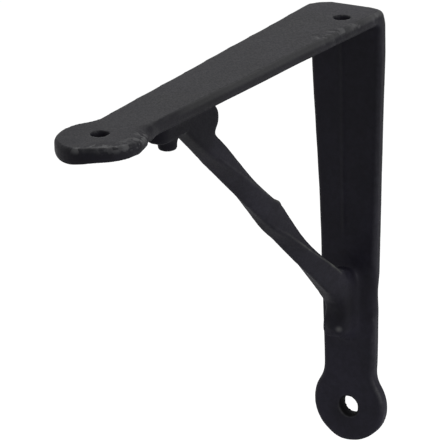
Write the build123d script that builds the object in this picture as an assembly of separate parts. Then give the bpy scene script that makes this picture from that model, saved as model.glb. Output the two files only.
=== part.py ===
from build123d import *
import math
import os

# Shelf bracket cast in one piece, in millimetres.
# Y = 0 is the face that lies against the wall and Z = 0 the face under the shelf.
# The origin is the middle of the outer corner, the arm reaches towards -Y and +Z is up.

# The two flat arms
depth = 152.0              # wall to the tip of the shelf arm
height = 140.0             # shelf face to the foot of the wall arm
thickness = 4.0            # both arms
corner_width = 23.8        # both arms where they meet
shelf_neck_width = 15.3    # shelf arm where it runs into its round end
wall_neck_width = 16.6     # wall arm where it runs into its round end
shelf_end_radius = 12.05   # round end of the shelf arm
wall_end_radius = 12.0     # round end of the wall arm
shelf_side_hollow = 0.1    # how far the long sides of the shelf arm curve inwards
wall_side_hollow = 0.4     # the same for the wall arm
neck_blend = 9.0           # hollow curve between a side and its round end
bend_outside = 1.6         # outside of the bend
square_part = 9.0          # the sides run square this far from the corner
edge_round = 1.0           # soft cast edge round the inner faces of the arms
edge_bevel = 0.7           # bevel round the wall face and the shelf face
inside_blend = 2.5         # hollow curve inside the bend

# Screw holes
shelf_hole = 5.3           # diameter of both holes in the shelf arm
wall_hole = 6.5            # diameter of the hole in the wall arm, which takes a stouter screw
corner_hole_in = 14.6      # wall face to the hole by the corner
corner_hole_aside = 4.8    # that hole stands off the middle, clear of the brace
shelf_hole_in = 139.0      # wall face to the hole in the shelf arm's round end
shelf_hole_aside = -0.4    # it was cored a little off the middle
wall_hole_down = 128.5     # shelf face to the hole in the wall arm's round end
wall_hole_aside = 0.2      # it was cored a little off the middle

# Diagonal brace: a bar turned half round about its own length
bar_width = 6.3            # across the bracket at the ends, without the swellings
bar_depth = 5.1            # in the plane of the bracket at the ends, without the flares
bar_corner = 0.6           # rounding of the bar's four corners
bar_twist = 164.0          # degrees from the top end to the bottom end
twist_start = 0.0          # share of the bar's length where the turn begins
twist_stop = 0.95          # share where it ends
knuckle_swell = 0.9        # extra width of the lump at mid length
knuckle_place = 0.51       # share of the length where the lump is
knuckle_reach = 0.14       # share of the length that it fades over
crest_swell = 0.9          # a short ridge on top of the lump
crest_place = 0.53         # share of the length where the ridge is
crest_reach = 0.04         # share of the length that it fades over
top_flare = 1.9            # extra depth at the top end
top_flare_reach = 0.20     # share of the length that it fades over
bottom_flare = 2.9         # extra depth at the bottom end
bottom_flare_reach = 0.24  # share of the length that it fades over
belly = 0.54               # how far the lower half hangs outwards
belly_place = 0.71         # share of the length where it hangs most
belly_reach = 0.105        # share of the length that it fades over
bar_sections = 25          # cross sections that the bar is drawn through

# Feet of the brace, each flat against its arm
foot_width = 6.3           # across both feet
foot_proud = 6.8           # how far both stand off their arm
foot_edge = 0.5            # broken edges of the feet
shelf_foot_tip = 112.8     # wall face to the far end of the shelf foot
shelf_tip_round = 2.9      # its rounded end, seen from below
shelf_foot_heel = 82.5     # wall face to its rounded heel
heel_radius = 4.7          # the heel in side view
heel_drop = 6.8            # underside of the arm to the middle of the heel
wall_foot_top = 83.7       # shelf face to the upper end of the wall foot, at the arm
wall_foot_tip = 103.4      # shelf face to the lower end of the wall foot, at its front
wall_foot_skirt = 2.4      # how much lower it ends at the arm
gusset_reach = 16.6        # wall face to where the foot's upper side meets the bar
gusset_rise = 5.2          # how much that side rises on the way
wall_tip_round = 1.2       # its lower end, seen square on
bar_top_inset = 15.85      # tip of the shelf foot to the top end of the bar's middle line
bar_top_drop = 1.15        # middle of the shelf foot down to that end
bar_bottom_inset = 12.95   # tip of the wall foot to the bottom end of the middle line

# Rivet-shaped stubs cast on the feet
shelf_stub_radius = 2.8
shelf_stub_height = 3.5
shelf_stub_in = 105.6      # wall face to its middle
wall_stub_radius = 2.1
wall_stub_height = 1.5
wall_stub_down = 99.6      # shelf face to its middle
stub_edge = 0.5            # broken rim of both stubs
stub_taper = 0.3           # how much slimmer both are at the rim

sink = 0.6                 # how far one form runs into the next, to join it

# Sketch planes of the two arms: local +Y runs from the corner along each arm
shelf_plane = Plane(origin=(0, 0, 0), x_dir=(1, 0, 0), z_dir=(0, 0, -1))
wall_plane = Plane(origin=(0, 0, 0), x_dir=(-1, 0, 0), z_dir=(0, -1, 0))

# The bar's middle line in the YZ plane, from inside one foot to inside the other
foot_middle = thickness + foot_proud / 2
bar_top = Vector(0, bar_top_inset - shelf_foot_tip, -(foot_middle + bar_top_drop))
bar_bottom = Vector(0, -foot_middle, bar_bottom_inset - wall_foot_tip)
bar_run = bar_bottom - bar_top


def arm_outline(length, neck_width, end_radius, side_hollow):
    """Flat outline of one arm, from the corner at (0, 0) along +Y to its round end."""
    centre = length - end_radius
    neck = centre - math.sqrt(end_radius ** 2 - (neck_width / 2) ** 2)
    start = square_part
    wide = corner_width / 2
    slim = neck_width / 2
    middle = (wide + slim) / 2 - side_hollow
    halfway = (start + neck) / 2
    with BuildSketch() as outline:
        with BuildLine():
            Polyline((-wide, start), (-wide, 0), (wide, 0), (wide, start))
            ThreePointArc((wide, start), (middle, halfway), (slim, neck))
            Polyline((slim, neck), (slim, centre), (-slim, centre), (-slim, neck))
            ThreePointArc((-slim, neck), (-middle, halfway), (-wide, start))
        make_face()
        with Locations((0, centre)):
            Circle(end_radius)
        at_neck = [v for v in outline.vertices() if abs(v.Y - neck) < 0.2]
        fillet(at_neck, neck_blend)
    return outline.sketch


def rims(solid):
    """The edges along the arms and round their ends, and not those across or through them."""
    across = solid.edges().filter_by(Axis.X)
    through = [e for e in solid.edges().filter_by(GeomType.LINE) if e.length < thickness + 0.01]
    return [e for e in solid.edges() if e not in across and e not in through]


def strap():
    """Both arms as one strap, bent square, with bevelled outer rims and soft inner ones."""
    low = thickness + inside_blend
    with BuildSketch() as hollow:
        with BuildLine():
            Polyline((-low, -thickness), (-thickness, -thickness), (-thickness, -low))
            RadiusArc((-thickness, -low), (-low, -thickness), -inside_blend)
        make_face()
    shelf_arm = arm_outline(depth, shelf_neck_width, shelf_end_radius, shelf_side_hollow)
    wall_arm = arm_outline(height, wall_neck_width, wall_end_radius, wall_side_hollow)
    solid = extrude(shelf_plane * shelf_arm, amount=thickness)
    solid = solid + extrude(wall_plane * wall_arm, amount=thickness)
    solid = solid + extrude(Plane.YZ * hollow.sketch, amount=corner_width / 2, both=True)
    bend = solid.edges().group_by(Axis.Z)[-1].sort_by(Axis.Y)[-1]
    solid = fillet(bend, bend_outside)
    inner = [e for e in rims(solid) if max(e.center().Y, e.center().Z) < -thickness / 2]
    solid = fillet(inner, edge_round)
    outer = [e for e in rims(solid) if max(e.center().Y, e.center().Z) > -thickness / 2]
    return chamfer(outer, edge_bevel)


def bump(share, place, reach):
    """A smooth swelling of height 1 about one place along the bar."""
    return math.exp(-((share - place) / reach) ** 2)


def bar_section(share):
    """One cross section of the bar, from 0 inside the shelf foot to 1 inside the wall foot."""
    turn = min(max((share - twist_start) / (twist_stop - twist_start), 0), 1)
    turn = math.radians(bar_twist * turn * turn * (3 - 2 * turn))
    wide = bar_width + knuckle_swell * bump(share, knuckle_place, knuckle_reach)
    wide = wide + crest_swell * bump(share, crest_place, crest_reach)
    deep = bar_depth + top_flare * bump(share, 0, top_flare_reach)
    deep = deep + bottom_flare * bump(share, 1, bottom_flare_reach)
    outward = Vector(0, bar_run.Z, -bar_run.Y).normalized()
    across = Vector(1, 0, 0) * math.cos(turn) - outward * math.sin(turn)
    middle = bar_top + bar_run * share + outward * (belly * bump(share, belly_place, belly_reach))
    plane = Plane(origin=middle, x_dir=across, z_dir=bar_run.normalized())
    return plane * RectangleRounded(wide, deep, bar_corner)


def brace_bar():
    """The twisted bar between the two feet."""
    return loft([bar_section(i / (bar_sections - 1)) for i in range(bar_sections)])


def shelf_foot():
    """The foot under the shelf arm, with a round tip and a rounded heel towards the corner."""
    top = sink - thickness
    low = -(thickness + foot_proud)
    heel = -(shelf_foot_heel + heel_radius)
    with BuildSketch() as side:
        with BuildLine():
            Polyline((heel, top), (-shelf_foot_tip, top), (-shelf_foot_tip, low), (heel, low), close=True)
        make_face()
        with Locations((heel, -(thickness + heel_drop))):
            Circle(heel_radius)
    foot = extrude(Plane.YZ * side.sketch, amount=foot_width / 2, both=True)
    tip = foot.edges().filter_by(Axis.Z).group_by(Axis.Y)[0]
    foot = fillet(tip, shelf_tip_round)
    underside = [e for e in foot.edges() if e.center().Z < low + 0.01]
    return chamfer(underside, foot_edge)


def wall_foot():
    """The foot on the wall arm. Its upper side runs out along the bar as a gusset."""
    back = sink - thickness
    front = -(thickness + foot_proud)
    crown = gusset_rise - wall_foot_top
    with BuildSketch() as side:
        with BuildLine():
            Polyline((back, -wall_foot_top), (-gusset_reach, crown), (front, crown - gusset_reach - front),
                     (front, -wall_foot_tip), (back, -(wall_foot_tip + wall_foot_skirt)), close=True)
        make_face()
    foot = extrude(Plane.YZ * side.sketch, amount=foot_width / 2, both=True)
    low = [e for e in foot.edges() if e.center().Z < -wall_foot_tip and abs(e.center().X) > 1]
    foot = fillet(low, wall_tip_round)
    return chamfer(foot.edges().filter_by(Axis.X).group_by(Axis.Z)[0], foot_edge)


def stub(radius, height):
    """A rivet-shaped stub standing on its base, which runs into the foot."""
    pin = Pos(0, 0, (height - sink) / 2) * Cone(radius, radius - stub_taper, height + sink)
    rim = pin.edges().filter_by(GeomType.CIRCLE).sort_by(Axis.Z)[-1]
    return chamfer(rim, stub_edge)


def screw_holes():
    """The three holes: both round ends and one by the corner, clear of the brace."""
    pin = Cylinder(shelf_hole / 2, 3 * thickness)
    wide_pin = Cylinder(wall_hole / 2, 3 * thickness)
    at_shelf_end = Pos(shelf_hole_aside, -shelf_hole_in, 0) * pin
    at_corner = Pos(corner_hole_aside, -corner_hole_in, 0) * pin
    at_wall_end = Pos(wall_hole_aside, 0, -wall_hole_down) * Rot(X=90) * wide_pin
    return [at_shelf_end, at_corner, at_wall_end]


def bracket():
    """The whole casting."""
    face = thickness + foot_proud
    solid = strap() + brace_bar()
    solid = solid + shelf_foot() + wall_foot()
    shelf_stub = Pos(0, -shelf_stub_in, -face) * Rot(X=180) * stub(shelf_stub_radius, shelf_stub_height)
    wall_stub = Pos(0, -face, -wall_stub_down) * Rot(X=90) * stub(wall_stub_radius, wall_stub_height)
    solid = solid + shelf_stub + wall_stub
    for hole in screw_holes():
        solid = solid - hole
    return solid


if __name__ == "__main__":
    os.makedirs("parts", exist_ok=True)
    export_step(bracket(), "parts/bracket.step")
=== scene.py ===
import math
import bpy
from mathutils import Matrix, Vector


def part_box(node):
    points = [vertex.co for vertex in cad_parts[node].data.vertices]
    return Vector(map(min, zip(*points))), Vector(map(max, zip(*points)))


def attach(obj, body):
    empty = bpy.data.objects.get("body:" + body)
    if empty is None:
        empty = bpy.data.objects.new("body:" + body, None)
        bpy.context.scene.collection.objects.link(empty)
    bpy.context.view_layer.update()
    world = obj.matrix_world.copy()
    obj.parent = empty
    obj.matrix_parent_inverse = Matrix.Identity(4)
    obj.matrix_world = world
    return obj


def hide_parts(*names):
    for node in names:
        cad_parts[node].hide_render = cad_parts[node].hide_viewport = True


bl_info = {
    "name": "Cast Shelf Bracket",
    "version": (1, 0, 0),
    "blender": (4, 5, 0),
    "location": "View3D > Sidebar > Bracket",
    "description": "Gives a cast iron shelf bracket its skin and finish, and a plain pale studio",
    "category": "Object",
}

import bpy
import bmesh
from mathutils import Matrix, Vector

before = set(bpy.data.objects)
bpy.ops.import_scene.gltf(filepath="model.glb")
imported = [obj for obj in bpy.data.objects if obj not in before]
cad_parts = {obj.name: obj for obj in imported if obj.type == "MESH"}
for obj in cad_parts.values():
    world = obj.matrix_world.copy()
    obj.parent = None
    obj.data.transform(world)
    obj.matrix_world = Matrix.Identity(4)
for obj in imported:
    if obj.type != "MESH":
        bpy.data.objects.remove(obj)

MM = 0.001
IMAGE_SIZE = 440              # pixels, both ways
SENSOR = 36.0                 # millimetres


# Settings that a user would change

class CastingSettings(bpy.types.PropertyGroup):
    """The skin of the casting: its inside corners, its grain and its moulding line."""

    voxel: bpy.props.FloatProperty(
        name="Skin cell", description="Size of the skin's faces",
        default=0.45 * MM, min=0.3 * MM, max=2 * MM, precision=5, unit="LENGTH")
    blend_steps: bpy.props.IntProperty(
        name="Corner steps", description="How often the inside corners are filled a little more",
        default=22, min=0, max=60)
    blend_share: bpy.props.FloatProperty(
        name="Corner share", description="Share of the way that each step fills",
        default=0.9, min=0, max=1, subtype="FACTOR")
    wave_size: bpy.props.FloatProperty(
        name="Wave size", description="Length of the slow waves in the cast faces",
        default=16 * MM, min=1 * MM, max=100 * MM, precision=4, unit="LENGTH")
    wave_height: bpy.props.FloatProperty(
        name="Wave height", description="Height of the slow waves in the cast faces",
        default=0.16 * MM, min=0, max=1 * MM, precision=5, unit="LENGTH")
    grain_size: bpy.props.FloatProperty(
        name="Grain size", description="Length of one grain that the sand mould left",
        default=1.5 * MM, min=0.2 * MM, max=10 * MM, precision=5, unit="LENGTH")
    grain_height: bpy.props.FloatProperty(
        name="Grain height", description="Height of the grain that the sand mould left",
        default=0.04 * MM, min=0, max=0.5 * MM, precision=5, unit="LENGTH")
    coat: bpy.props.FloatProperty(
        name="Coat", description="Thickness of the black finish over the iron",
        default=0.12 * MM, min=0, max=0.5 * MM, precision=5, unit="LENGTH")
    wear: bpy.props.IntProperty(
        name="Wear", description="How far the worn places are rounded off",
        default=60, min=0, max=300)
    seam_offset: bpy.props.FloatProperty(
        name="Moulding line offset", description="How far the moulding line stands off the middle",
        default=-1.0 * MM, min=-5 * MM, max=5 * MM, precision=4, unit="LENGTH")
    seam_height: bpy.props.FloatProperty(
        name="Moulding line height", description="Height of the moulding line on the wall arm",
        default=0.2 * MM, min=0, max=0.5 * MM, precision=5, unit="LENGTH")


class FinishSettings(bpy.types.PropertyGroup):
    """The black finish over the iron."""

    colour: bpy.props.FloatVectorProperty(
        name="Colour", description="Colour of the black finish", subtype="COLOR", size=4,
        default=(0.0072, 0.0067, 0.0104, 1), min=0, max=1)
    # also the colour of the painted light along the shelf arm's near rim
    worn_and_rim_light_colour: bpy.props.FloatVectorProperty(
        name="Worn colour", description="Colour on the edges, where the finish is thin",
        subtype="COLOR", size=4, default=(0.045, 0.045, 0.0465, 1), min=0, max=1)
    roughness: bpy.props.FloatProperty(
        name="Roughness", description="How dull the finish is", default=0.5, min=0, max=1,
        subtype="FACTOR")
    gloss: bpy.props.FloatProperty(
        name="Gloss", description="How strongly the finish mirrors", default=0.09, min=0, max=1,
        subtype="FACTOR")


class StudioSettings(bpy.types.PropertyGroup):
    """The camera, the lamps and the pale floor."""

    azimuth: bpy.props.FloatProperty(
        name="Azimuth", description="Camera's turn round the bracket", subtype="ANGLE",
        default=math.radians(30.545))
    elevation: bpy.props.FloatProperty(
        name="Elevation", description="Camera's height above the horizon", subtype="ANGLE",
        default=math.radians(20.226))
    roll: bpy.props.FloatProperty(
        name="Roll", description="Camera's turn about its own line of sight", subtype="ANGLE",
        default=math.radians(-1.074))
    distance: bpy.props.FloatProperty(
        name="Distance", description="Camera's distance from the point that it is placed by",
        default=1.0558, unit="LENGTH")
    focal_pixels: bpy.props.FloatProperty(
        name="Focal length", description="Focal length in pixels of the picture", default=3630.8)
    floor_drop: bpy.props.FloatProperty(
        name="Floor drop", description="Floor below the foot of the bracket",
        default=0.16, min=0, unit="LENGTH")
    floor_colour: bpy.props.FloatVectorProperty(
        name="Floor colour", description="Colour of the floor and the backdrop", subtype="COLOR",
        size=4, default=(0.65, 0.65, 0.65, 1), min=0, max=1)
    floor_glow: bpy.props.FloatProperty(
        name="Floor glow", description="Brightness that the floor shows beyond what the lamps give it",
        default=0.62, min=0)
    lamp_power: bpy.props.FloatProperty(
        name="Lamp power", description="Power of the lamp above the bracket", default=2.7,
        min=0, unit="POWER")
    side_power: bpy.props.FloatProperty(
        name="Side lamp power", description="Power of the lamp beside the bracket", default=5.0,
        min=0, unit="POWER")
    sky_strength: bpy.props.FloatProperty(
        name="Sky strength", description="Strength of the even light all round", default=0.5, min=0)


# Node trees

class Tree:
    """A node tree and the few calls that build it."""

    def __init__(self, tree):
        self.tree = tree
        self.nodes = tree.nodes
        self.nodes.clear()

    def add(self, kind, **values):
        node = self.nodes.new(kind)
        for name, value in values.items():
            setattr(node, name, value)
        return node

    def feed(self, node, **inputs):
        """Joins or sets the inputs of a node. Underscores in a name stand for spaces."""
        for name, value in inputs.items():
            self.put(node.inputs[name.replace("_", " ")], value)

    def put(self, socket, value):
        if isinstance(value, bpy.types.NodeSocket):
            self.tree.links.new(value, socket)
        else:
            socket.default_value = value

    def math(self, operation, *values, clamp=False):
        node = self.add("ShaderNodeMath", operation=operation, use_clamp=clamp)
        for socket, value in zip(node.inputs, values):
            self.put(socket, value)
        return node.outputs[0]

    def vector(self, operation, *values):
        node = self.add("ShaderNodeVectorMath", operation=operation)
        for socket, value in zip(node.inputs, values):
            self.put(socket, value)
        return node.outputs["Value" if operation in ("DOT_PRODUCT", "LENGTH") else "Vector"]

    def scale(self, vector, factor):
        node = self.add("ShaderNodeVectorMath", operation="SCALE")
        self.put(node.inputs["Vector"], vector)
        self.put(node.inputs["Scale"], factor)
        return node.outputs["Vector"]

    def blend(self, share, first, second):
        """The first colour, changed into the second one by a share from 0 to 1."""
        node = self.add("ShaderNodeMix", data_type="RGBA")
        colours = [socket for socket in node.inputs if socket.type == "RGBA"]
        self.put(node.inputs[0], share)
        self.put(colours[0], first)
        self.put(colours[1], second)
        return [socket for socket in node.outputs if socket.type == "RGBA"][0]

    def split(self, vector):
        """The X, Y and Z of a vector."""
        node = self.add("ShaderNodeSeparateXYZ")
        self.put(node.inputs[0], vector)
        return tuple(node.outputs)

    def product(self, first, *others):
        """All the values multiplied."""
        total = first
        for other in others:
            total = self.math("MULTIPLY", total, other)
        return total

    def spread(self, value, low, high, to_low=0.0, to_high=1.0):
        """The value's range from low to high, made the range from to_low to to_high."""
        node = self.add("ShaderNodeMapRange", interpolation_type="SMOOTHSTEP")
        self.put(node.inputs["Value"], value)
        self.put(node.inputs["From Min"], low)
        self.put(node.inputs["From Max"], high)
        self.put(node.inputs["To Min"], to_low)
        self.put(node.inputs["To Max"], to_high)
        return node.outputs["Result"]

    def fade(self, coordinate, low, high, to_low=0.0, to_high=1.0):
        """As spread, for a coordinate, with low and high in millimetres."""
        return self.spread(coordinate, low * MM, high * MM, to_low, to_high)

    def noise(self, place, size, detail, roughness=0.5):
        """A noise from 0 to 1 at a place in metres, with lumps about as long as size."""
        node = self.add("ShaderNodeTexNoise")
        self.feed(node, Vector=self.scale(place, self.math("DIVIDE", 1.0, size)), Scale=1.0,
                  Detail=detail, Roughness=roughness)
        return node.outputs[0]


def geometry_tree(name, sizes):
    """A new Geometry Nodes tree with a geometry input and output and named size inputs."""
    group = bpy.data.node_groups.new(name, "GeometryNodeTree")
    ends = group.interface
    ends.new_socket("Geometry", in_out="INPUT", socket_type="NodeSocketGeometry")
    for label, kind in sizes:
        ends.new_socket(label, in_out="INPUT", socket_type=kind)
    ends.new_socket("Geometry", in_out="OUTPUT", socket_type="NodeSocketGeometry")
    return Tree(group)


def finish_tree(tree, geometry, material):
    """Ends a tree in real geometry with its material."""
    smooth = tree.add("GeometryNodeSetShadeSmooth")
    tree.feed(smooth, Geometry=geometry)
    real = tree.add("GeometryNodeRealizeInstances")
    tree.feed(real, Geometry=smooth.outputs[0])
    paint = tree.add("GeometryNodeSetMaterial")
    tree.feed(paint, Geometry=real.outputs[0], Material=material)
    end = tree.add("NodeGroupOutput")
    tree.put(end.inputs[0], paint.outputs[0])


def run_tree(piece, tree, values):
    """Runs a tree on a piece, keeps the result as its plain mesh and removes the modifiers."""
    modifier = piece.modifiers.new("tree", "NODES")
    modifier.node_group = tree.tree
    for item in tree.tree.interface.items_tree:
        if item.item_type == "SOCKET" and item.in_out == "INPUT" and item.name in values:
            modifier[item.identifier] = values[item.name]
    view = bpy.context.evaluated_depsgraph_get()
    mesh = bpy.data.meshes.new_from_object(piece.evaluated_get(view))
    piece.modifiers.clear()
    piece.data = mesh
    mesh.name = piece.name


# The casting

SKIN_SIZES = (
    ("Corner Steps", "NodeSocketInt"), ("Corner Share", "NodeSocketFloat"),
    ("Wave Size", "NodeSocketFloat"), ("Wave Height", "NodeSocketFloat"),
    ("Grain Size", "NodeSocketFloat"), ("Grain Height", "NodeSocketFloat"),
    ("Coat", "NodeSocketFloat"), ("Wear", "NodeSocketInt"),
    ("Seam Offset", "NodeSocketFloat"), ("Seam Height", "NodeSocketFloat"),
    ("Seam Face", "NodeSocketFloat"), ("Seam Top", "NodeSocketFloat"),
    ("Seam Foot", "NodeSocketFloat"),
)


def filled_corners(tree, geometry, steps, share):
    """The skin, moved outwards step by step where it is hollow, so its inside corners are filled."""
    start = tree.add("GeometryNodeRepeatInput")
    end = tree.add("GeometryNodeRepeatOutput")
    start.pair_with_output(end)
    tree.put(start.inputs["Iterations"], steps)
    tree.put(start.inputs["Geometry"], geometry)
    place = tree.add("GeometryNodeInputPosition").outputs[0]
    normal = tree.add("GeometryNodeInputNormal").outputs[0]
    pull = tree.vector("SUBTRACT", blurred_place(tree, CORNER_BLUR, 1.0), place)
    outward = tree.math("MAXIMUM", tree.vector("DOT_PRODUCT", pull, normal), 0.0)
    move = tree.scale(tree.scale(normal, outward), share)
    moved = tree.add("GeometryNodeSetPosition")
    tree.feed(moved, Geometry=start.outputs["Geometry"], Offset=move)
    tree.put(end.inputs["Geometry"], moved.outputs[0])
    return end.outputs["Geometry"]


CORNER_BLUR = 3               # blur steps in each step that fills the corners

# Places, reaches, shifts and sizes from here on are in millimetres, in the frame's own axes.
# Points of the model that are nearer than this become one.
MERGE_DISTANCE = 0.001

# Places where the casting is rounded off: the place, its reach and how strongly
WORN_PLACES = (
    ((11, -133, 1), 8, 1.0),       # near side of the shelf arm's round end
    ((-12, 0, 0), 6, 1.0),         # far end of the bend
    ((12, 0, 0), 5, 0.15),         # near end of the bend
    ((3.5, -9, -90), 12, 1.0),     # near side of the foot on the wall arm
    ((3.5, -9, -101), 8, 1.0),
    ((2, -88, -15), 15, 0.06),     # foot on the shelf arm
    ((0, -70, -45), 34, 0.025),    # brace
)

# Places where the casting came out of the mould a little out of true: place, reach and shift
WARPS = (
    ((-9, -148, -2), 16, (0, 0, -0.5)),      # the shelf arm's round end droops
    ((-4, -152, -7), 11, (0, 0, -1.3)),      # and is thicker there
    ((11, -131, -5), 10, (2.6, 0, -0.2)),    # its near neck is filled
    ((-9, 0, -121), 9, (-0.4, 0, 0)),        # the wall arm's neck is filled
    ((-4, -12, -91), 9, (-1.6, 0, 0)),       # the wall foot's far side is wide
    ((-4, -12, -100), 9, (-1.6, 0, 0)),
    ((-0.6, -13, -96), 6, (0, 1.2, 0)),      # and its front is hollow
    ((7, -2, -138), 10, (-0.15, 0, 0.15)),   # the wall arm's round end is flat at one side
    ((-4, -2, -141), 6, (-0.1, 0, -0.4)),    # and full at the other
    ((0, 0, -130), 24, (-0.28, 0, 0)),       # and is a little aside
    ((3, -49, -47), 3.5, (0.3, 0, 0.5)),     # the brace has a sharp knuckle
    ((-9, -120, 0), 40, (-0.2, 0, 0)),       # the shelf arm's far edge isn't quite straight
    ((-11, -30, 0), 40, (0.42, 0, 0)),
    ((11, -40, -3), 45, (-0.2, 0, 0.15)),    # nor is its near edge
    ((10, 0, -60), 70, (0.18, 0, 0)),        # nor are the wall arm's edges
    ((-9, 0, -62), 25, (0.18, 0, 0)),
    ((-9, 0, -25), 20, (-0.12, 0, 0)),
)
WALL_ARM_STRETCH = 0.018      # how much wider the wall arm came out
STRETCH_FOOT = (-120, -112)   # the stretch grows between these heights
STRETCH_TOP = (-16, -8)       # and ends between these

# The moulding line down the wall arm's inner face
SEAM_FACE = -4                # Y of that face
SEAM_TOP = -12                # it is whole up to this height
SEAM_FOOT = -74               # height of its lower end
SEAM_FADE = 6                 # the height over which it runs out at each end
SEAM_HALF_WIDTH = (0.2, 0.9)  # from its crest to its foot
BEHIND_FACE = (0, 0.3)        # it ends here on the wall's side of the face
BEFORE_FACE = (-0.5, -0.2)    # and here on the other side

# Chips in the rim of the shelf arm's round end: degrees round from its tip, distance from the
# middle of the end, and reach
END_CHIPS = (
    (0, 11.5, 3), (10, 10, 2), (25, 9, 3), (40, 9.5, 4), (55, 10, 3.5), (70, 11, 3),
    (90, 11, 5), (110, 12, 5), (125, 12, 4),
)
END_MIDDLE = 140              # distance of that middle from the back of the bracket
# Chips along the arm's near edge: distance from the back, distance from the arm's middle, and reach
EDGE_CHIPS = ((6, 12.5, 4), (18, 12, 4), (25, 11.5, 3), (29, 11, 4.5), (35, 9, 3.5))
CHIP_LEVEL = -0.5             # they lie a little below the top face
CHIP_DEPTH = 0.45
CHIP_SIZE = 2.6               # length of the pits in them
FOOT_PAINTED_HIGHLIGHT = ((1, -11.5, -100.5), 1.6)      # a painted highlight on the front of the wall foot: a pale spot, dented a little


def nearness(tree, place, centre, reach):
    """1 at a place given in millimetres and 0 beyond its reach, with a soft fall between."""
    away = tree.vector("LENGTH", tree.vector("SUBTRACT", place, tuple(Vector(centre) * MM)))
    return tree.spread(away, 0.0, reach * MM, 1.0, 0.0)


def blurred_place(tree, steps, weight):
    """Each point's place after it has moved towards its neighbours a number of times."""
    place = tree.add("GeometryNodeInputPosition").outputs[0]
    blurred = tree.add("GeometryNodeBlurAttribute", data_type="FLOAT_VECTOR")
    tree.put([s for s in blurred.inputs if s.name == "Value" and s.type == "VECTOR"][0], place)
    tree.put(blurred.inputs["Iterations"], steps)
    tree.put(blurred.inputs["Weight"], weight)
    return [s for s in blurred.outputs if s.type == "VECTOR"][0]


def chips_and_foot_highlight(tree, place):
    """1 in the middle of a chip or of the painted highlight on the wall foot, and 0 away from them."""
    # the first place is the painted highlight on the wall foot
    chips = [FOOT_PAINTED_HIGHLIGHT]
    for degrees, distance, reach in END_CHIPS:
        way = math.radians(degrees)
        aside = distance * math.sin(way)
        along = END_MIDDLE + distance * math.cos(way)
        chips.append(((aside, -along, CHIP_LEVEL), reach))
    for along, aside, reach in EDGE_CHIPS:
        chips.append(((aside, -along, CHIP_LEVEL), reach))
    share = 0.0
    for centre, reach in chips:
        share = tree.math("MAXIMUM", share, nearness(tree, place, centre, reach))
    return share


def rounded_places(tree, geometry, steps):
    """The skin with its worn places rounded off."""
    place = tree.add("GeometryNodeInputPosition").outputs[0]
    weight = 0.0
    for centre, reach, strength in WORN_PLACES:
        near = tree.math("MULTIPLY", nearness(tree, place, centre, reach), strength)
        weight = tree.math("MAXIMUM", weight, near)
    moved = tree.add("GeometryNodeSetPosition")
    tree.feed(moved, Geometry=geometry, Position=blurred_place(tree, steps, weight))
    return moved.outputs[0]


def warped(tree, geometry):
    """The skin with the mould's small errors."""
    place = tree.add("GeometryNodeInputPosition").outputs[0]
    height = tree.split(place)[2]
    arm = tree.product(tree.fade(height, *STRETCH_TOP, 1.0, 0.0), tree.fade(height, *STRETCH_FOOT))
    shift = tree.scale(tree.vector("MULTIPLY", place, (WALL_ARM_STRETCH, 0, 0)), arm)
    for centre, reach, way in WARPS:
        part = tree.scale(tuple(Vector(way) * MM), nearness(tree, place, centre, reach))
        shift = tree.vector("ADD", part, shift)
    moved = tree.add("GeometryNodeSetPosition")
    tree.feed(moved, Geometry=geometry, Offset=shift)
    return moved.outputs[0]


def lumps(tree, place, size, height, detail):
    """Lumps about as long as size, from half of height below the skin to half of it above."""
    middle = 0.5
    return tree.product(tree.math("SUBTRACT", tree.noise(place, size, detail), middle), height)


def seam(tree, place, given):
    """1 along the moulding line down the wall arm's inner face and 0 away from it."""
    across, depth, height = tree.split(place)
    aside = tree.math("ABSOLUTE", tree.math("SUBTRACT", across, given["Seam Offset"]))
    depth = tree.math("SUBTRACT", depth, given["Seam Face"])
    top = tree.math("SUBTRACT", height, given["Seam Top"])
    foot = tree.math("SUBTRACT", height, given["Seam Foot"])
    return tree.product(
        tree.fade(aside, *SEAM_HALF_WIDTH, 1.0, 0.0),
        tree.fade(depth, *BEHIND_FACE, 1.0, 0.0), tree.fade(depth, *BEFORE_FACE),
        tree.fade(top, 0, SEAM_FADE, 1.0, 0.0), tree.fade(foot, 0, SEAM_FADE))


def skin_tree():
    """The tree that turns the smooth skin into a sand cast one."""
    tree = geometry_tree("cast_skin", SKIN_SIZES + (("Material", "NodeSocketMaterial"),))
    given = tree.add("NodeGroupInput").outputs
    skin = filled_corners(tree, given["Geometry"], given["Corner Steps"], given["Corner Share"])
    skin = rounded_places(tree, warped(tree, skin), given["Wear"])
    place = tree.add("GeometryNodeInputPosition").outputs[0]
    normal = tree.add("GeometryNodeInputNormal").outputs[0]

    rise = lumps(tree, place, given["Wave Size"], given["Wave Height"], detail=1.0)
    grain = lumps(tree, place, given["Grain Size"], given["Grain Height"], detail=2.0)
    rise = tree.math("ADD", rise, grain)
    rise = tree.math("ADD", rise, given["Coat"])
    chip = tree.product(chips_and_foot_highlight(tree, place), tree.noise(place, CHIP_SIZE * MM, detail=1.0))
    rise = tree.math("MULTIPLY_ADD", chip, -CHIP_DEPTH * MM, rise)
    rise = tree.math("MULTIPLY_ADD", seam(tree, place, given), given["Seam Height"], rise)

    moved = tree.add("GeometryNodeSetPosition")
    tree.feed(moved, Geometry=skin, Offset=tree.scale(normal, rise))
    finish_tree(tree, moved.outputs[0], given["Material"])
    return tree


def merged_copy(node, name):
    """A new object with a copy of a CAD node's mesh, its doubled points merged."""
    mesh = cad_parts[node].data.copy()
    work = bmesh.new()
    work.from_mesh(mesh)
    bmesh.ops.remove_doubles(work, verts=work.verts, dist=MERGE_DISTANCE * MM)
    work.to_mesh(mesh)
    work.free()
    mesh.materials.clear()
    mesh.name = name
    piece = bpy.data.objects.new(name, mesh)
    bpy.context.scene.collection.objects.link(piece)
    return piece


# The finish. A range of two numbers is where a value turns from 0 to 1, and two more numbers after
# them are what it turns from and to. Places and sizes are in millimetres.

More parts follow.
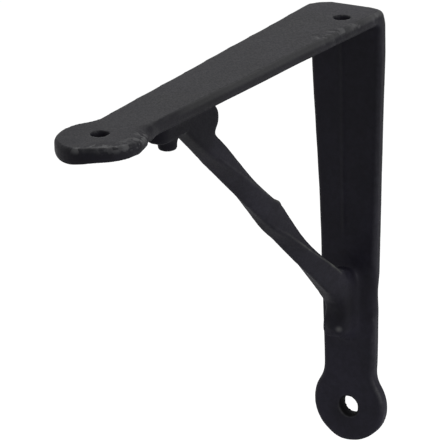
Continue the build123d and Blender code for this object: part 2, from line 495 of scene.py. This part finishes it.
COARSE_GRAIN = 2.2
FINE_GRAIN = 0.5
GRAIN_NOISE = (3.0, 0.6)                   # detail and roughness of both grains
PATCH_SIZE = 14
UNEVEN_SHADE = (0.3, 0.7, 0.85, 1.15)      # patches and grains are this much darker or paler
SHARP_EDGE = (0.505, 0.56)                 # Blender's pointiness, at which an edge is worn
EDGE_BREAKS = (0.3, 0.6, 0.5, 1.0)         # the wear along an edge comes and goes with the grain
UPWARD = (-0.3, 0.5)                       # an edge that faces down isn't worn

# Painted light along the top of the shelf arm's near side, where a rounded edge catches light; it is
# mixed in as the worn colour
RIM_PAINTED_LIGHT = 0.85
RIM_SIDE = (6, 7.5)                        # from the arm's middle
RIM_END = (-118, -104)                     # by the arm's round end
RIM_HEIGHT = (-1.9, -0.7)
TOP_FACING = (0.9, 1.0)                    # the top face has none of it

# Painted light and shade: the colour is made darker on the shelf arm, paler and greyer on the brace, and
# paler down the wall arm, standing in for light that the lamps don't give
BRACE_PAINTED_LIGHT = (1.93, 1.97, 1.76, 1)
ARM_PAINTED_SHADE = (0.78, 0.78, 0.79, 1)
WALL_PAINTED_LIGHT = (-15, -150, 1.1, 1.9)         # down the wall arm
BRACE_TO_ARM = (-26, -14)                  # heights
BRACE_TO_WALL = (-15, -10.5)               # depths

WALL_HOLE = (0.2, 0, -128.5)
BORE = (3.3, 3.8)                          # from inside the hole to the face round it
BORE_PAINTED_SHADE = 0.15                          # painted shade: how dark the colour is made inside that hole
# Painted shade in patches: the place and reach of each
PAINTED_SHADE_PATCHES = (
    ((-2.5, -5, -130.5), 7),               # by the hole of the wall arm
    ((0.5, -11, -96), 9),                  # front of the wall foot
    ((6, -7, -92), 14),                    # and its near side
    ((12, -102, -9), 22),                  # near side of the shelf arm, by its foot
)
PAINTED_SHADE_DEPTH = 0.4                         # the share of its colour that a patch of painted shade takes

# colour of the chips, and of the painted highlight on the wall foot
CHIP_AND_HIGHLIGHT_COLOUR = (0.07, 0.07, 0.073, 1)
SPECK_SIZE = 2.4
SPECKS = (0.50, 0.58)                      # the noise that they start and end at
CHIP_FOOT = (-2.4, -1.0)                   # the chips of the shelf arm end below its top face
BELOW_ARM = (-50, -40)                     # the painted highlight on the wall foot has no specks

DULL_GRAIN = (0.3, 0.7)
DULLER = 0.08                              # the roughness of a grain, above and below the setting
GLOSSIER = 0.06
BRACE_TOP = (-8, -5)                       # the brace and its foot are dull up to this height
DOWNWARD = (-0.5, -0.1)                    # and so is what faces down
HIDDEN_DULL = 0.2                          # sheltered places are this much rougher
BORE_DULL = 2.0                            # the bore counts as sheltered, by its darkness times this
BUMP_STRENGTH = 0.3
BUMP_HEIGHT = 0.08
FINE_BUMP = 0.35                           # share of the fine grain in the bumps


def painted_rim_light(tree, place, facing):
    """Painted light along the top of the shelf arm's near side, as a share of the worn colour."""
    across, along, height = tree.split(place)
    return tree.product(tree.fade(across, *RIM_SIDE), tree.spread(facing, *TOP_FACING, RIM_PAINTED_LIGHT, 0.0),
                        tree.fade(along, *RIM_END), tree.fade(height, *RIM_HEIGHT))


def wear_and_rim_light(tree, place, facing, coarse):
    """How thin the finish is on sharp edges and in breaks, with painted light on the near rim."""
    edge = tree.add("ShaderNodeNewGeometry").outputs["Pointiness"]
    worn = tree.product(tree.spread(edge, *SHARP_EDGE), tree.spread(coarse, *EDGE_BREAKS),
                        tree.spread(facing, *UPWARD))
    return tree.math("MAXIMUM", worn, painted_rim_light(tree, place, facing))


def painted_bore_shade(tree, place):
    """Painted shade: the factor that darkens the colour inside the hole of the wall arm, and 1 outside
    it.
    """
    centre = tuple(Vector(WALL_HOLE) * MM)
    from_hole = tree.vector("MULTIPLY", tree.vector("SUBTRACT", place, centre), (1, 0, 1))
    return tree.fade(tree.vector("LENGTH", from_hole), *BORE, BORE_PAINTED_SHADE, 1.0)


def with_painted_shade(tree, place, colour):
    """The colour, made darker by patches of painted shade."""
    for centre, reach in PAINTED_SHADE_PATCHES:
        near = nearness(tree, place, centre, reach)
        colour = tree.scale(colour, tree.math("MULTIPLY_ADD", near, -PAINTED_SHADE_DEPTH, 1.0))
    return colour


def bare_places_and_foot_highlight(tree, place):
    """Where the finish is off, as specks in the chips of the shelf arm; and the painted highlight on the
    wall foot, as a whole spot.
    """
    height = tree.split(place)[2]
    specks = tree.spread(tree.noise(place, SPECK_SIZE * MM, detail=2.0), *SPECKS)
    specks = tree.product(specks, tree.fade(height, *CHIP_FOOT))
    specks = tree.math("MAXIMUM", specks, tree.fade(height, *BELOW_ARM, 1.0, 0.0))
    return tree.product(chips_and_foot_highlight(tree, place), specks)


def sheltered(tree, height, facing, on_wall, bore):
    """1 on the brace, on what faces down and in the bore, where the finish is dullest."""
    brace = tree.product(tree.math("SUBTRACT", 1.0, on_wall), tree.fade(height, *BRACE_TOP, 1.0, 0.0))
    hidden = tree.math("MAXIMUM", brace, tree.spread(facing, *DOWNWARD, 1.0, 0.0))
    return tree.math("MAXIMUM", hidden, tree.product(tree.math("SUBTRACT", 1.0, bore), BORE_DULL))


def black_iron(settings):
    """Satin black over cast iron: grained, uneven, thin on the edges and with chips; with painted light
    and shade by place, painted shade in the wall hole and in patches, painted light along the shelf
    arm's near rim and a painted highlight on the wall foot.
    """
    material = bpy.data.materials.new("black_iron")
    material.use_nodes = True
    tree = Tree(material.node_tree)
    coordinates = tree.add("ShaderNodeTexCoord").outputs
    place = coordinates["Object"]
    facing = tree.split(coordinates["Normal"])[2]
    depth, height = tree.split(place)[1:]
    coarse = tree.noise(place, COARSE_GRAIN * MM, *GRAIN_NOISE)
    fine = tree.noise(place, FINE_GRAIN * MM, *GRAIN_NOISE)
    patch = tree.noise(place, PATCH_SIZE * MM, detail=2.0)
    on_wall = tree.fade(depth, *BRACE_TO_WALL)
    bore = painted_bore_shade(tree, place)

    uneven = tree.product(tree.spread(patch, *UNEVEN_SHADE), tree.spread(coarse, *UNEVEN_SHADE))
    # worn edges, and painted light along the shelf arm's near rim
    colour = tree.blend(wear_and_rim_light(tree, place, facing, coarse),
                        tree.scale(settings.colour[:3], uneven), tuple(settings.worn_and_rim_light_colour))
    # painted light and shade by place: darker shelf arm, paler brace, paler down the wall arm
    painted_light_off_wall = tree.blend(tree.fade(height, *BRACE_TO_ARM), BRACE_PAINTED_LIGHT, ARM_PAINTED_SHADE)
    painted_light_by_place = tree.blend(on_wall, painted_light_off_wall, tree.fade(height, *WALL_PAINTED_LIGHT))
    # painted shade inside the hole of the wall arm
    colour = tree.scale(tree.vector("MULTIPLY", colour, painted_light_by_place), bore)
    # patches of painted shade, then the chips and the painted highlight on the wall foot in their colour
    colour = tree.blend(bare_places_and_foot_highlight(tree, place), with_painted_shade(tree, place, colour), CHIP_AND_HIGHLIGHT_COLOUR)

    dull = tree.spread(fine, *DULL_GRAIN, settings.roughness - GLOSSIER, settings.roughness + DULLER)
    hidden = sheltered(tree, height, facing, on_wall, bore)
    dull = tree.math("MULTIPLY_ADD", hidden, HIDDEN_DULL, dull, clamp=True)
    bump = tree.add("ShaderNodeBump")
    tree.feed(bump, Strength=BUMP_STRENGTH, Distance=BUMP_HEIGHT * MM,
              Height=tree.math("MULTIPLY_ADD", fine, FINE_BUMP, coarse))
    shader = tree.add("ShaderNodeBsdfPrincipled")
    tree.feed(shader, Base_Color=colour, Roughness=dull, Normal=bump.outputs[0])
    shader.inputs["Specular IOR Level"].default_value = settings.gloss
    end = tree.add("ShaderNodeOutputMaterial")
    tree.put(end.inputs["Surface"], shader.outputs[0])
    return material


class BRACKET_OT_casting(bpy.types.Operator):
    """Make the bracket's cast skin over its model and give it the black finish"""

    bl_idname = "bracket.casting"
    bl_label = "Casting"
    bl_options = {"REGISTER", "UNDO"}

    def execute(self, context):
        sizes = context.scene.bracket_casting
        piece = merged_copy("bracket", "casting")
        skin = piece.modifiers.new("skin", "REMESH")
        skin.mode = "VOXEL"
        skin.voxel_size = sizes.voxel
        run_tree(piece, skin_tree(), {
            "Corner Steps": sizes.blend_steps, "Corner Share": sizes.blend_share,
            "Wave Size": sizes.wave_size, "Wave Height": sizes.wave_height,
            "Grain Size": sizes.grain_size, "Grain Height": sizes.grain_height,
            "Coat": sizes.coat, "Wear": sizes.wear,
            "Seam Offset": sizes.seam_offset, "Seam Height": sizes.seam_height,
            "Seam Face": SEAM_FACE * MM, "Seam Top": SEAM_TOP * MM, "Seam Foot": SEAM_FOOT * MM,
            "Material": black_iron(context.scene.bracket_finish),
        })
        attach(piece, "root")
        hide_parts("bracket")
        return {"FINISHED"}


# The studio

AIM_POINT = Vector((0, -60, -60)) * MM     # the point that the camera is placed by
AIM_COLUMN = 253.65                        # where that point is in the picture, in pixels
AIM_ROW = 253.79
NEAREST = 0.01                             # nearest and farthest that the camera sees, in metres
FARTHEST = 20
FLOOR_HALF = 3.0                           # metres from the floor's middle to its sides
ABOVE = Vector((-0.3, 0.5, 0.9))           # the lamps' places, in metres from the bracket's middle
ABOVE_SIZE = 0.9
BESIDE = Vector((0.95, -0.1, 0.35))
BESIDE_SIZE = 0.6


def camera_axes(settings):
    """The camera's right, up and backward directions."""
    turn, rise, roll = settings.azimuth, settings.elevation, settings.roll
    back = Vector((math.sin(turn) * math.cos(rise), -math.cos(turn) * math.cos(rise), math.sin(rise)))
    level = Vector((math.cos(turn), math.sin(turn), 0))
    upright = back.cross(level)
    right = level * math.cos(roll) + upright * math.sin(roll)
    up = upright * math.cos(roll) - level * math.sin(roll)
    return right, up, back


def add_camera(settings):
    """A camera that has the aim point at its column and row, without a shifted lens."""
    right, up, back = camera_axes(settings)
    focal = settings.focal_pixels
    place = AIM_POINT + back * settings.distance
    aside = (IMAGE_SIZE / 2 - AIM_COLUMN) / focal
    above = (AIM_ROW - IMAGE_SIZE / 2) / focal
    sight = right * aside + up * above - back
    z_axis = -sight.normalized()
    x_axis = up.cross(z_axis).normalized()
    y_axis = z_axis.cross(x_axis)
    lens = bpy.data.cameras.new("camera")
    lens.sensor_width = SENSOR
    lens.lens = focal * SENSOR / IMAGE_SIZE
    lens.clip_start = NEAREST
    lens.clip_end = FARTHEST
    camera = bpy.data.objects.new("camera", lens)
    turn = Matrix((x_axis, y_axis, z_axis)).transposed().to_4x4()
    camera.matrix_world = Matrix.Translation(place) @ turn
    bpy.context.scene.collection.objects.link(camera)
    bpy.context.scene.camera = camera


def add_lamp(name, place, target, size, power):
    """A square soft lamp that faces a point."""
    light = bpy.data.lights.new(name, "AREA")
    light.shape = "SQUARE"
    light.size = size
    light.energy = power
    lamp = bpy.data.objects.new(name, light)
    lamp.location = place
    lamp.rotation_mode = "QUATERNION"
    lamp.rotation_quaternion = (Vector(place) - target).to_track_quat("Z", "Y")
    bpy.context.scene.collection.objects.link(lamp)


def seen(tree):
    """1 for light that goes to the camera, also by a mirror or through glass, and 0 for the rest."""
    path = tree.add("ShaderNodeLightPath").outputs
    direct = tree.math("MAXIMUM", path["Is Camera Ray"], path["Is Glossy Ray"])
    return tree.math("MAXIMUM", direct, path["Is Transmission Ray"])


def pale_floor(colour, glow):
    """A matt pale floor, white where it is seen and not in shadow."""
    material = bpy.data.materials.new("pale_floor")
    material.use_nodes = True
    tree = Tree(material.node_tree)
    matt = tree.add("ShaderNodeBsdfDiffuse")
    tree.feed(matt, Color=tuple(colour))
    white = tree.add("ShaderNodeEmission")
    tree.feed(white, Color=(1, 1, 1, 1), Strength=tree.math("MULTIPLY", seen(tree), glow))
    both = tree.add("ShaderNodeAddShader")
    tree.put(both.inputs[0], matt.outputs[0])
    tree.put(both.inputs[1], white.outputs[0])
    end = tree.add("ShaderNodeOutputMaterial")
    tree.put(end.inputs["Surface"], both.outputs[0])
    return material


def pale_sky(strength):
    """An even pale light all round, white where the camera sees it."""
    world = bpy.data.worlds.new("pale_sky")
    world.use_nodes = True
    tree = Tree(world.node_tree)
    level = tree.math("MULTIPLY_ADD", seen(tree), 1.0 - strength, strength)
    sky = tree.add("ShaderNodeBackground")
    tree.feed(sky, Color=(1, 1, 1, 1), Strength=level)
    end = tree.add("ShaderNodeOutputWorld")
    tree.put(end.inputs["Surface"], sky.outputs[0])
    bpy.context.scene.world = world


def add_floor(settings, height):
    """A wide floor below the bracket, which isn't part of it."""
    mesh = bpy.data.meshes.new("floor")
    corners = [(x * FLOOR_HALF, y * FLOOR_HALF, height) for x, y in ((-1, -1), (1, -1), (1, 1), (-1, 1))]
    mesh.from_pydata(corners, [], [(0, 1, 2, 3)])
    mesh.materials.append(pale_floor(settings.floor_colour, settings.floor_glow))
    floor = bpy.data.objects.new("floor", mesh)
    bpy.context.scene.collection.objects.link(floor)


class BRACKET_OT_studio(bpy.types.Operator):
    """Add the pale floor, the lamps, the sky and the camera"""

    bl_idname = "bracket.studio"
    bl_label = "Studio"
    bl_options = {"REGISTER", "UNDO"}

    def execute(self, context):
        settings = context.scene.bracket_studio
        low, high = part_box("bracket")
        middle = (low + high) / 2
        add_floor(settings, low.z - settings.floor_drop)
        add_lamp("lamp_above", middle + ABOVE, middle, ABOVE_SIZE, settings.lamp_power)
        add_lamp("lamp_beside", middle + BESIDE, middle, BESIDE_SIZE, settings.side_power)
        pale_sky(settings.sky_strength)
        add_camera(settings)
        context.scene.view_settings.view_transform = "Standard"
        return {"FINISHED"}


class BRACKET_PT_panel(bpy.types.Panel):
    """The bracket's pieces and settings"""

    bl_idname = "BRACKET_PT_panel"
    bl_label = "Shelf Bracket"
    bl_space_type = "VIEW_3D"
    bl_region_type = "UI"
    bl_category = "Bracket"

    def draw(self, context):
        for name, operator in (("bracket_casting", "bracket.casting"), ("bracket_finish", None),
                               ("bracket_studio", "bracket.studio")):
            box = self.layout.box()
            settings = getattr(context.scene, name)
            for key in settings.__annotations__:
                box.prop(settings, key)
            if operator:
                box.operator(operator)


CLASSES = (CastingSettings, FinishSettings, StudioSettings, BRACKET_OT_casting, BRACKET_OT_studio,
           BRACKET_PT_panel)


def register():
    for each in CLASSES:
        bpy.utils.register_class(each)
    bpy.types.Scene.bracket_casting = bpy.props.PointerProperty(type=CastingSettings)
    bpy.types.Scene.bracket_finish = bpy.props.PointerProperty(type=FinishSettings)
    bpy.types.Scene.bracket_studio = bpy.props.PointerProperty(type=StudioSettings)


def unregister():
    del bpy.types.Scene.bracket_casting
    del bpy.types.Scene.bracket_finish
    del bpy.types.Scene.bracket_studio
    for each in reversed(CLASSES):
        bpy.utils.unregister_class(each)


def main():
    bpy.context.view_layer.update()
    register()
    bpy.ops.bracket.casting()
    bpy.ops.bracket.studio()


if __name__ == "__main__":
    main()
